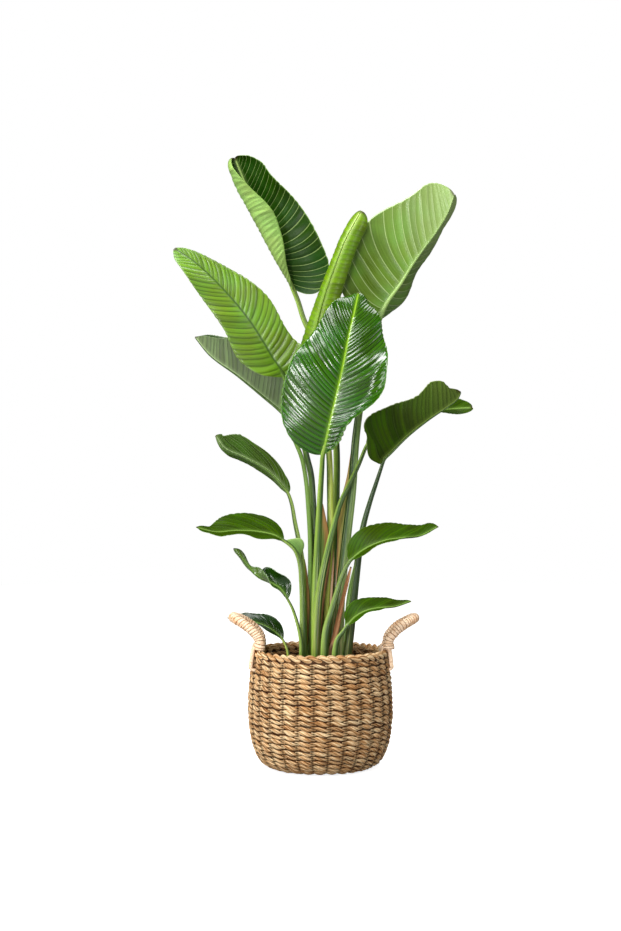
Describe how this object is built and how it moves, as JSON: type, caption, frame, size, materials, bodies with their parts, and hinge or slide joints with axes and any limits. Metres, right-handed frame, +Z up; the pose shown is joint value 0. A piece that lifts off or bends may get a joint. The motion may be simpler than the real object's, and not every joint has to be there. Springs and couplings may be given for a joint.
{
  "type": "potted bird of paradise in a woven basket",
  "caption": "Large-leaved bird of paradise plant in its nursery pot, stood in a round woven seagrass floor basket with wrapped rope handles.",
  "frame": {"origin": "centre of the basket's round underside, on the surface it stands on", "axes": "+Z up along the basket's axis, -Y out of the front, towards which the front leaf faces, +X to the right between the two handles"},
  "size_m": [0.7105, 0.35, 1.463],
  "materials": {
    "seagrass": "matte",
    "handle_rope": "matte",
    "pot_plastic": "satin",
    "soil": "matte",
    "leaf_glossy": "gloss",
    "leaf_green": "satin",
    "leaf_young": "satin",
    "leaf_underside": "satin",
    "dry_leaf": "matte"
  },
  "bodies": {
    "root": {"basket": "seagrass", "basket_handle_left": "handle_rope", "basket_handle_right": "handle_rope", "nursery_pot": "pot_plastic", "soil": "soil", "leaf_front": "leaf_glossy", "leaf_left_upper": "leaf_young", "leaf_left_lower": "leaf_underside", "leaf_top": "leaf_green", "leaf_right_upper": "leaf_underside", "leaf_rolled": "leaf_young", "leaf_right_middle": "leaf_green", "leaf_right_back": "leaf_green", "leaf_left_middle": "leaf_green", "leaf_left_low": "leaf_green", "leaf_crinkled": "leaf_green", "leaf_left_bottom": "leaf_green", "leaf_right_low": "leaf_glossy", "leaf_right_bottom": "leaf_glossy", "dry_sheath": "dry_leaf"}
  },
  "joints": []
}
